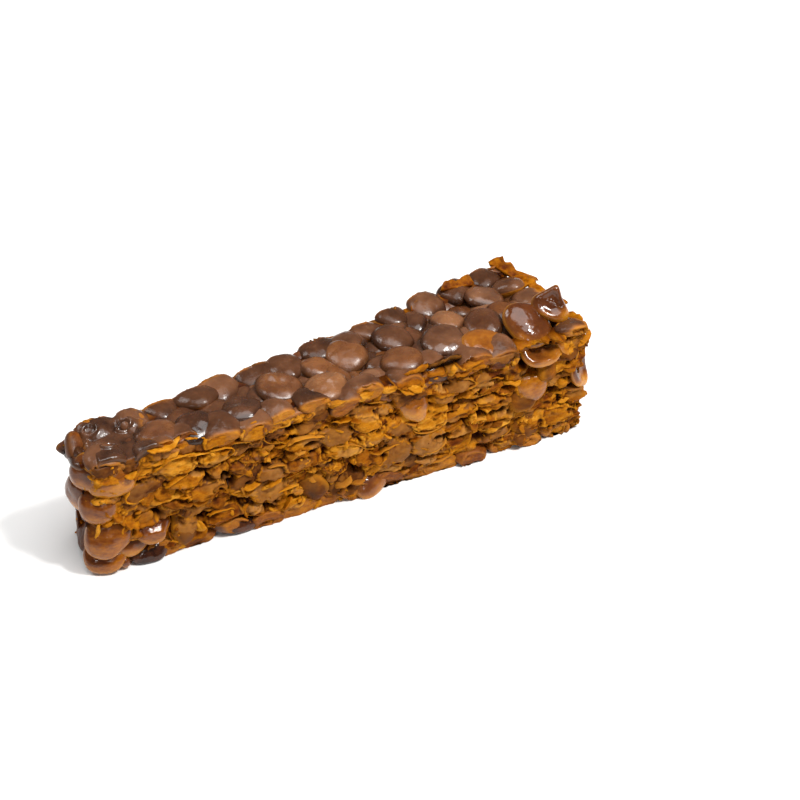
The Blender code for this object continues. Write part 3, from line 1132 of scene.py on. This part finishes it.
def ribbon(rng, half_run, half_up, first, last, stand_out):
    """The edge of a coat that stands out of the cut, as a wavy strip along an arc of an oval."""
    columns, rows = 18, 4
    turn, out = np.meshgrid(
        np.linspace(first, last, columns), np.linspace(0, 1, rows), indexing="ij"
    )
    shift = np.array([rng.uniform(0, 300) for _ in range(3)])
    ring = np.stack((np.cos(turn), np.sin(turn), np.zeros_like(turn)), axis=-1)
    rough = noise(ring.reshape(-1, 3) * half_run + shift, 1.0).reshape(turn.shape)
    fade = np.abs(np.sin(np.pi * (turn - first) / (last - first))) ** 0.4
    y = -0.7 + out * (0.7 + stand_out * (0.8 + 0.5 * rough)) * fade
    flare = 1 + 0.09 * out * rough
    thin = rng.uniform(0.12, 0.2) * (1 - 0.35 * out) / 2
    layers = []
    for way in (-1, 1):
        x = (half_run * flare + way * thin) * ring[..., 0]
        z = (half_up * flare + way * thin) * ring[..., 1] + 0.18 * rough
        layers.append(as_points(x, y, z))
    rim = np.tile(ease(0.4, 1.0, out).ravel(), 2)
    return np.concatenate(layers), sheet_faces(columns, rows), rim


def tipped(rng, pitch, roll, yaw=25, droop=0):
    """A turn by chance about each axis, with the spreads and the mean pitch in degrees."""
    means = zip((droop, 0, 0), (pitch, roll, yaw))
    return np.array(Euler([math.radians(rng.gauss(*each)) for each in means]).to_matrix())


# Torn sheets that stand out: place, the way they stick out, roll, length, width, thickness, tone,
# and how bare they are.
LARGE_FLAKES = (
    ((-33.0, 1.3, 22.0), (0.05, -1.0, 0.25), 2, 6.6, 2.2, 0.45, 0.85, 1.0),
    ((-27.2, 1.4, 21.7), (-0.1, -1.0, 0.1), -6, 4.0, 1.6, 0.4, 0.8, 1.0),
    ((-33.4, 0.9, 19.8), (0.1, -1.0, -0.3), 12, 6.4, 1.7, 0.4, 0.8, 1.0),
    ((-27.2, 0.9, 19.0), (-0.1, -1.0, -0.2), -10, 7.0, 1.5, 0.4, 0.8, 1.0),
    ((-45.3, 0.6, 8.8), (-0.75, -0.55, -0.1), 80, 4.2, 0.9, 0.5, 0.95, 1.0),
    ((-35.8, 1.1, 14.8), (0.1, -1.0, -0.9), -8, 5.4, 2.8, 0.8, 0.66, 1.0),
    ((-33.4, 1.0, 13.4), (0.2, -1.0, -0.6), 14, 4.2, 2.2, 0.6, 0.58, 1.0),
    ((-41.4, 1.1, 13.0), (0.2, -1.0, -0.9), -14, 6.6, 3.0, 0.7, 0.39, 0.9),
    ((-40.3, 1.1, 11.2), (0.3, -1.0, -0.9), -16, 6.4, 3.0, 0.6, 0.47, 1.0),
    ((-39.0, 1.0, 9.4), (0.3, -1.0, -0.8), -18, 5.6, 2.6, 0.6, 0.55, 1.0),
    ((-31.4, 1.0, 10.4), (0.1, -1.0, -0.8), -10, 5.6, 2.4, 0.7, 0.39, 0.7),
    ((-24.4, 1.0, 8.4), (0.0, -1.0, -0.7), -6, 5.2, 2.2, 0.6, 0.47, 0.9),
    ((-12.2, 0.9, 2.8), (-0.3, -0.9, -0.4), 62, 4.4, 1.8, 0.5, 0.58, 1.0),
    ((-28.5, 1.0, 3.0), (0.0, -0.9, -0.7), 10, 4.6, 2.0, 0.7, 0.47, 1.0),
    ((13.0, 1.4, 22.0), (0.0, -1.0, 0.5), 4, 5.0, 2.2, 0.8, 0.58, 1.0),
    ((18.4, 1.9, 22.3), (0.0, -1.0, 0.2), 0, 7.0, 2.4, 0.7, 0.22, 0.1),
    ((31.0, 21.4, 22.6), (0.1, 1.0, 0.6), 3, 6.4, 2.0, 1.4, 0.36, 1.0),
    ((23.0, 19.4, 21.8), (-0.1, 1.0, 0.4), -4, 4.6, 1.4, 1.0, 0.34, 1.0),
    ((41.7, 23.4, 22.0), (0.9, 0.3, 0.5), 6, 7.0, 2.4, 0.9, 0.47, 1.0),
    ((42.8, 19.6, 21.8), (1.0, 0.0, 0.6), -8, 6.6, 2.6, 0.9, 0.55, 1.0),
    ((43.7, 15.4, 22.0), (1.0, 0.0, 0.4), 5, 6.0, 2.4, 0.9, 0.51, 1.0),
    ((44.7, 10.8, 21.8), (1.0, 0.0, 0.4), -6, 5.4, 2.2, 0.8, 0.55, 1.0),
    ((45.0, 3.6, 21.4), (0.9, -0.4, 0.4), 10, 4.8, 2.2, 0.9, 0.55, 1.0),
    ((45.2, 2.2, 17.4), (0.9, -0.6, 0.1), 30, 4.6, 2.0, 0.8, 0.55, 1.0),
)


def add_large_flakes(heap):
    rng = random.Random("large flakes")
    for (x, y, z), out, roll, length, width, thickness, tone, bare in LARGE_FLAKES:
        points, faces, rim = flake(rng, length, width, thickness, (17, 8))
        out = Vector(out).normalized()
        along = out.cross(UP).normalized()
        axes = np.array((along, out, along.cross(out))).T
        rolled = np.array(Euler((0, math.radians(roll), 0)).to_matrix())
        place = np.array((x, FRONT + y, z)) - 0.3 * width * np.array(out)
        look = look_of(bare, tone + 0.4 * fractal(points, 1.1, 5, 3), rim * 0.25)
        heap.add(points @ (axes @ rolled).T + place, faces, look)


def add_flakes(heap, wall, count):
    """Torn sheets that stick out of the cut, most of them lying along the layers."""
    rng = random.Random("flakes " + wall.name)
    for _ in range(count):
        run, up = rng.uniform(0.8, wall.length - 0.8), rng.uniform(0.8, HEIGHT - 1.5)
        length, width = rng.uniform(1.6, 4.8), rng.uniform(0.9, 2.2)
        points, faces, rim = flake(rng, length, width, rng.uniform(0.25, 0.6))
        out = min(wall.depth_at(run, up) - 0.45 * width, 0.85 - width)
        place, axes = wall.spot_at(run, up, out)
        bare = 1.0 if rng.random() < 0.65 else 0.5
        look = look_of(bare, rng.uniform(0.3, 0.85), rim * rng.uniform(0.4, 0.9))
        heap.add(points @ (axes @ tipped(rng, 28, 14, 25, -30)).T + place, faces, look)


def add_ribbons(heap, wall, lentils, share):
    """Rims of coat round some of the cut lentils."""
    rng = random.Random("ribbons " + wall.name)
    for lentil in wall.some_inner(lentils, rng, share):
        half_run, half_up = section_size(lentil)
        first = rng.uniform(-0.2, 0.5) * math.pi
        last = first + rng.uniform(0.5, 1.1) * math.pi
        if rng.random() < 0.3:
            first, last = first + math.pi, last + math.pi
        size = half_run * 0.98, half_up * 1.1
        points, faces, rim = ribbon(rng, *size, first, last, rng.uniform(0.2, 0.5))
        run = wall.run_of(lentil.group, lentil.share)
        place, axes = wall.spot_at(run, lentil.place.z, min(lentil.proud, 0.3))
        bare = rng.choice((0.3, 0.6, 1.0))
        look = look_of(bare, rng.uniform(0.4, 0.9), rim)
        heap.add(points @ (axes @ tipped(rng, 5, 9, 4)).T + place, faces, look)


CRUMB = disc_template(9, 3, 3)


def add_crumbs(heap, wall, count):
    """Loose lumps of flesh, more of them towards the foot."""
    rng = random.Random("crumbs " + wall.name)
    angle, share, side, faces = CRUMB
    height = side * np.sqrt(np.maximum(1 - share**2, 0))
    ball = np.stack((share * np.cos(angle), share * np.sin(angle), height), axis=1)
    for _ in range(count):
        run = rng.uniform(0.3, wall.length - 0.3)
        up = wall.LOW + (HEIGHT - 2) * rng.random() ** 1.4
        size = 0.25 + 0.75 * rng.random() ** 2
        stretch = np.array([rng.uniform(0.8, 1.6), rng.uniform(0.7, 1.2), 0.6])
        lumpy = 1 + 0.55 * noise(ball + rng.uniform(0, 300), 0.7)[:, None]
        points = ball * size * stretch * lumpy
        place, _ = wall.spot_at(run, up, min(wall.depth_at(run, up), 0.5 - size))
        look = look_of(1.0, rng.uniform(0.2, 0.95), 0.2)
        heap.add(points @ tipped(rng, 40, 40, 60).T + place, faces, look)


# ---------------------------------------------------------------- materials


class Nodes:
    """A short way to add and link a material's nodes."""

    def __init__(self, name):
        self.material = bpy.data.materials.new(name)
        self.material.use_nodes = True
        self.tree = self.material.node_tree
        self.shader = self.tree.nodes["Principled BSDF"]

    def add(self, kind, **settings):
        node = self.tree.nodes.new("ShaderNode" + kind)
        for key, value in settings.items():
            setattr(node, key, value)
        return node

    def put(self, value, socket):
        """Links an output to a socket, or sets it to a number or a colour."""
        if hasattr(value, "is_output"):
            self.tree.links.new(value, socket)
        elif isinstance(value, tuple):
            socket.default_value = (*value, 1)
        else:
            socket.default_value = value

    def math(self, operation, a, b):
        node = self.add("Math", operation=operation)
        self.put(a, node.inputs[0])
        self.put(b, node.inputs[1])
        return node.outputs[0]

    def plus(self, a, b):
        return self.math("ADD", a, b)

    def times(self, a, b):
        return self.math("MULTIPLY", a, b)

    def sway(self, value, pattern, reach):
        """The value, moved up and down by a pattern from 0 to 1."""
        return self.plus(value, self.times(self.plus(pattern, -0.5), reach))

    def noise(self, scale, detail=3, roughness=0.5, stretch=None):
        node = self.add("TexNoise")
        node.inputs["Scale"].default_value = scale
        node.inputs["Detail"].default_value = detail
        node.inputs["Roughness"].default_value = roughness
        coordinates = self.add("TexCoord").outputs["Object"]
        if stretch:
            mapping = self.add("Mapping")
            mapping.inputs["Scale"].default_value = stretch
            self.put(coordinates, mapping.inputs["Vector"])
            coordinates = mapping.outputs["Vector"]
        self.put(coordinates, node.inputs["Vector"])
        return node.outputs["Fac"]

    def ramp(self, factor, stops):
        node = self.add("ValToRGB")
        elements = node.color_ramp.elements
        while len(elements) < len(stops):
            elements.new(0.5)
        for element, (position, colour) in zip(elements, stops):
            element.position = position
            element.color = (*colour, 1)
        self.put(factor, node.inputs["Fac"])
        return node.outputs["Color"]

    def mix(self, factor, a, b, blend="MIX"):
        node = self.add("Mix", data_type="RGBA", blend_type=blend)
        for socket, value in ((node.inputs[0], factor), (node.inputs[6], a), (node.inputs[7], b)):
            self.put(value, socket)
        return node.outputs[2]

    def range(self, value, low, high, to_low, to_high):
        node = self.add("MapRange")
        for socket, number in zip(node.inputs, (value, low, high, to_low, to_high)):
            self.put(number, socket)
        return node.outputs["Result"]

    def bump(self, height, distance, strength, below=None):
        node = self.add("Bump")
        node.inputs["Distance"].default_value = distance
        node.inputs["Strength"].default_value = strength
        self.put(height, node.inputs["Height"])
        if below:
            self.put(below, node.inputs["Normal"])
        return node.outputs["Normal"]


COAT_TONES = (
    (0.10, (0.022, 0.0080, 0.0040)),
    (0.38, (0.078, 0.0300, 0.0135)),
    (0.62, (0.155, 0.0650, 0.0300)),
    (0.95, (0.300, 0.1400, 0.0660)),
)
WARM_COAT_TONES = (
    (0.10, (0.020, 0.0060, 0.0015)),
    (0.38, (0.078, 0.0270, 0.0065)),
    (0.62, (0.165, 0.0640, 0.0150)),
    (0.95, (0.310, 0.1350, 0.0360)),
)
RED_COAT_TONES = (
    (0.10, (0.022, 0.0050, 0.0015)),
    (0.38, (0.095, 0.0260, 0.0065)),
    (0.62, (0.200, 0.0650, 0.0150)),
    (0.95, (0.360, 0.1450, 0.0360)),
)
FLESH_TONES = (
    (0.05, (0.019, 0.0021, 0.0000)),
    (0.30, (0.103, 0.0205, 0.0002)),
    (0.52, (0.246, 0.0715, 0.0008)),
    (0.76, (0.395, 0.1420, 0.0040)),
    (1.00, (0.560, 0.2500, 0.0240)),
)
RIM_TONE = (0.47, 0.180, 0.008)
# The colour that painted shade multiplies into coat and flesh.
PAINTED_SHADE_TINT = (0.09, 0.022, 0.004)


# Shine, how rough the coat and the flesh are (from, to), the coat's tones, and how deep the grain
# of the flesh is.
FOODS = {
    "tempeh": (0.05, (0.25, 0.45), (0.38, 0.62), WARM_COAT_TONES, 0.6),
    "lentil_skin": (0.42, (0.12, 0.3), (0.38, 0.62), COAT_TONES, 0.6),
    "cut_skin": (0.22, (0.12, 0.3), (0.38, 0.62), COAT_TONES, 0.6),
    "worn_skin": (0.42, (0.07, 0.2), (0.07, 0.22), RED_COAT_TONES, 0.2),
}


def food_colour(nodes, look, coat_tones, patterns):
    """Coat or flesh by the look's first number, each by its tone, with pale rims and painted shade.
    """
    flesh, tone, rim, light = look
    mottle, cloudy, fibres = patterns
    coat = nodes.ramp(nodes.sway(nodes.sway(tone, cloudy, 0.65), mottle, 0.45), coat_tones)
    meat = nodes.ramp(nodes.sway(nodes.sway(tone, fibres, 0.65), cloudy, 0.5), FLESH_TONES)
    colour = nodes.mix(flesh, coat, meat)
    colour = nodes.mix(nodes.times(rim, 0.6), colour, RIM_TONE)
    # Painted shade: the colour times the shade tint, as much as the look's light is low.
    dark = nodes.mix(1.0, colour, PAINTED_SHADE_TINT, "MULTIPLY")
    return nodes.mix(light, dark, colour)


def food_roughness(nodes, look, coat_roughness, flesh_roughness, patterns):
    flesh, _, rim, _ = look
    mottle, _, fibres = patterns
    between = nodes.add("Mix", data_type="FLOAT")
    nodes.put(flesh, between.inputs[0])
    nodes.put(nodes.range(mottle, 0.3, 0.7, *coat_roughness), between.inputs[2])
    nodes.put(nodes.range(fibres, 0.3, 0.7, *flesh_roughness), between.inputs[3])
    return nodes.plus(between.outputs[0], nodes.times(rim, 0.3))


def food_relief(nodes, flesh, coarseness, patterns):
    """Fibres and fine grain on the flesh, and a faint unevenness on the coat."""
    mottle, _, fibres = patterns
    fine = nodes.noise(2600, 4, 0.6, (1.0, 1.0, 2.0))
    grain = nodes.plus(fibres, nodes.times(fine, 0.5))
    grain = nodes.bump(nodes.times(grain, flesh), 0.0003, coarseness)
    uneven = nodes.plus(mottle, nodes.times(nodes.noise(1100, 2, 0.5), 0.3))
    skin = nodes.times(uneven, nodes.math("SUBTRACT", 1.0, flesh))
    return nodes.bump(skin, 0.00025, 0.55, grain)


def food_material(name):
    """Coat and flesh together: each point's look says which of them shows."""
    shine, coat_roughness, flesh_roughness, coat_tones, coarseness = FOODS[name]
    nodes = Nodes(name)
    attribute = nodes.add("Attribute", attribute_name="look")
    split = nodes.add("SeparateColor")
    nodes.put(attribute.outputs["Color"], split.inputs[0])
    look = (*split.outputs, attribute.outputs["Alpha"])
    mottle, cloudy = nodes.noise(420, 4, 0.6), nodes.noise(150, 3, 0.5)
    patterns = (mottle, cloudy, nodes.noise(700, 5, 0.65, (1.0, 1.0, 2.6)))
    inputs = nodes.shader.inputs
    nodes.put(food_colour(nodes, look, coat_tones, patterns), inputs["Base Color"])
    roughness = food_roughness(nodes, look, coat_roughness, flesh_roughness, patterns)
    nodes.put(roughness, inputs["Roughness"])
    nodes.put(food_relief(nodes, look[0], coarseness, patterns), inputs["Normal"])
    inputs["Subsurface Weight"].default_value = 0.1
    inputs["Subsurface Radius"].default_value = (1.0, 0.35, 0.08)
    inputs["Subsurface Scale"].default_value = 0.0012
    inputs["Specular IOR Level"].default_value = shine
    return nodes.material


def floor_material():
    nodes = Nodes("floor")
    speckle = nodes.noise(40, 2, 0.5)
    pale = nodes.ramp(speckle, ((0, (0.8, 0.797, 0.793)), (1, (0.84, 0.837, 0.833))))
    nodes.put(pale, nodes.shader.inputs["Base Color"])
    nodes.shader.inputs["Roughness"].default_value = 0.9
    return nodes.material


# ---------------------------------------------------------------- stage


def make_floor():
    bpy.ops.mesh.primitive_circle_add(vertices=96, radius=4, fill_type="NGON")
    floor = bpy.context.object
    floor.name = "floor"
    floor.data.materials.append(floor_material())


# Name, place in metres, size and power. The two small ones make the glints on the standing lentils.
LIGHTS = (
    ("key", (0.26, -0.32, 0.62), 0.1, 5.4, (1, 0.985, 0.96)),
    ("over", (0.05, -0.12, 0.6), 0.45, 3.0),
    ("back", (-0.35, 0.3, 0.6), 0.25, 1.6),
    ("front glint", (-0.13, -0.52, 0.3), 0.035, 0.2),
    ("left glint", (-0.42, -0.33, 0.36), 0.035, 0.2),
)


def add_light(name, place, size, power, colour=(1, 1, 1)):
    data = bpy.data.lights.new(name, "AREA")
    data.shape = "SQUARE"
    data.size = size
    data.energy = power
    data.color = colour
    light = bpy.data.objects.new(name, data)
    light.location = place
    light.rotation_euler = Vector(place).to_track_quat("Z", "Y").to_euler()
    bpy.context.scene.collection.objects.link(light)


def make_stage():
    """A pale floor under soft studio light."""
    make_floor()
    world = bpy.data.worlds.new("studio")
    bpy.context.scene.world = world
    world.use_nodes = True
    background = world.node_tree.nodes["Background"]
    background.inputs["Color"].default_value = (1, 0.985, 0.97, 1)
    background.inputs["Strength"].default_value = 0.16
    for light in LIGHTS:
        add_light(*light)
    bpy.context.scene.view_settings.view_transform = "Standard"


def make_camera():
    """The photo's camera: its distance and aim are in millimetres."""
    azimuth, elevation = math.radians(CAMERA_AZIMUTH), math.radians(CAMERA_ELEVATION)
    level = math.cos(elevation)
    back = Vector((math.sin(azimuth) * level, -math.cos(azimuth) * level, math.sin(elevation)))
    right = Vector((math.cos(azimuth), math.sin(azimuth), 0))
    over = back.cross(right)
    middle = Vector((0, 0, HEIGHT / 2 - 0.5))
    aim = middle + right * CAMERA_AIM[0] + over * CAMERA_AIM[1]
    data = bpy.data.cameras.new("camera")
    data.lens = CAMERA_LENS
    data.clip_start = 0.01
    camera = bpy.data.objects.new("camera", data)
    camera.location = (aim + back * CAMERA_DISTANCE) * MM
    camera.rotation_euler = back.to_track_quat("Z", "Y").to_euler()
    bpy.context.scene.collection.objects.link(camera)
    bpy.context.scene.camera = camera


# ---------------------------------------------------------------- the cake


FILM_REACH = -24  # the film drapes over the top's lentils left of here
STACK_DEPTH = 5  # how far in from the front side the left end's lentils are listed one by one


def make_skins(lentils, skin, cut_skin):
    """The whole lentils of the top, the underside and the left end."""
    own = {name: [one for one in lentils if one.group == name] for name in ("top", "under", "left")}
    top = Heap()
    add_skin_lentils(top, own["top"], FINE_LENS, random.Random("top skin"), top=HEIGHT)
    between = between_lentils(lentils, random.Random("between"))
    add_skin_lentils(top, between, COARSE_LENS, random.Random("between skin"), top=HEIGHT, spare=-1.4)
    near = [one for one in own["top"] + between if one.place.x < FILM_REACH]
    near += [one for one in lentils if one.group in SIDES and one.layer == LAYERS - 1]
    top.piece("top_lentils", skin, "lentil_skin")
    film = Heap()
    add_film(film, near)
    film.piece("binding_film", skin, "lentil_skin")
    rest = Heap()
    add_skin_lentils(rest, own["under"], COARSE_LENS, random.Random("under skin"))
    beside = beside_lentils(random.Random("beside"))
    ends = [one for one in own["left"] + beside if one.place.y > FRONT + STACK_DEPTH]
    add_skin_lentils(rest, ends, EVEN_LENS, random.Random("left skin"), 0.3)
    rest.piece("under_and_end_lentils", cut_skin, "lentil_skin")


def broken_away(lentil):
    """Whether the break at the front right corner took this edge lentil off."""
    return lentil.group == "front" and lentil.layer > 0 and 32 < lentil.place.x < 41


FLAKES, CRUMBS = 110, 176  # on each of the two walls


def make_sides(lentils, tempeh, cut_skin):
    """The cut and torn sides, as two walls, and what sticks out of them."""
    front = (("front", 0, 1), ("right", 0, 0.9))
    back = (("right", 0.72, 1), ("back", 1, 0))
    walls = (
        make_wall("front", front, 0.18, lentils, 1700, tempeh, fibrous, FRONT_BITES),
        make_wall("back", back, 0.24, lentils, 1300, tempeh),
    )
    left_on = [one for one in lentils if not broken_away(one)]
    edge = Heap()
    rng = random.Random("edge")
    for name in SIDES:
        ends = [one for one in left_on if one.group == name and one.layer in (0, LAYERS - 1)]
        add_cut_lentils(edge, ends, EVEN_LENS, rng)
    edge.piece("cut_edge_lentils", cut_skin, "lentil_skin")
    flakes, ribbons, crumbs, peeled = Heap(), Heap(), Heap(), Heap()
    add_large_flakes(flakes)
    for wall in walls:
        add_flakes(flakes, wall, FLAKES)
        add_ribbons(ribbons, wall, left_on, 0.5)
        add_crumbs(crumbs, wall, CRUMBS)
        add_peeled_lentils(peeled, wall, lentils, 0.14, random.Random("peeled " + wall.name))
    peeled.piece("peeled_lentils", tempeh, "lentil_skin")
    flakes.piece("flakes", tempeh, "tempeh")
    ribbons.piece("coat_rims", tempeh, "tempeh")
    crumbs.piece("crumbs", tempeh, "tempeh")


def make_cake():
    """Every piece that stands for the solid."""
    lentils = all_lentils()
    tempeh, skin, cut_skin, worn_skin = (food_material(name) for name in FOODS)
    core = Heap()
    add_core(core)
    core.piece("bound_mass", tempeh, "tempeh")
    make_skins(lentils, skin, cut_skin)
    make_sides(lentils, tempeh, cut_skin)
    standing = Heap()
    add_whole_lentils(standing, random.Random("set"))
    standing.piece("standing_lentils", worn_skin, "lentil_skin")


make_cake()
make_stage()
make_camera()
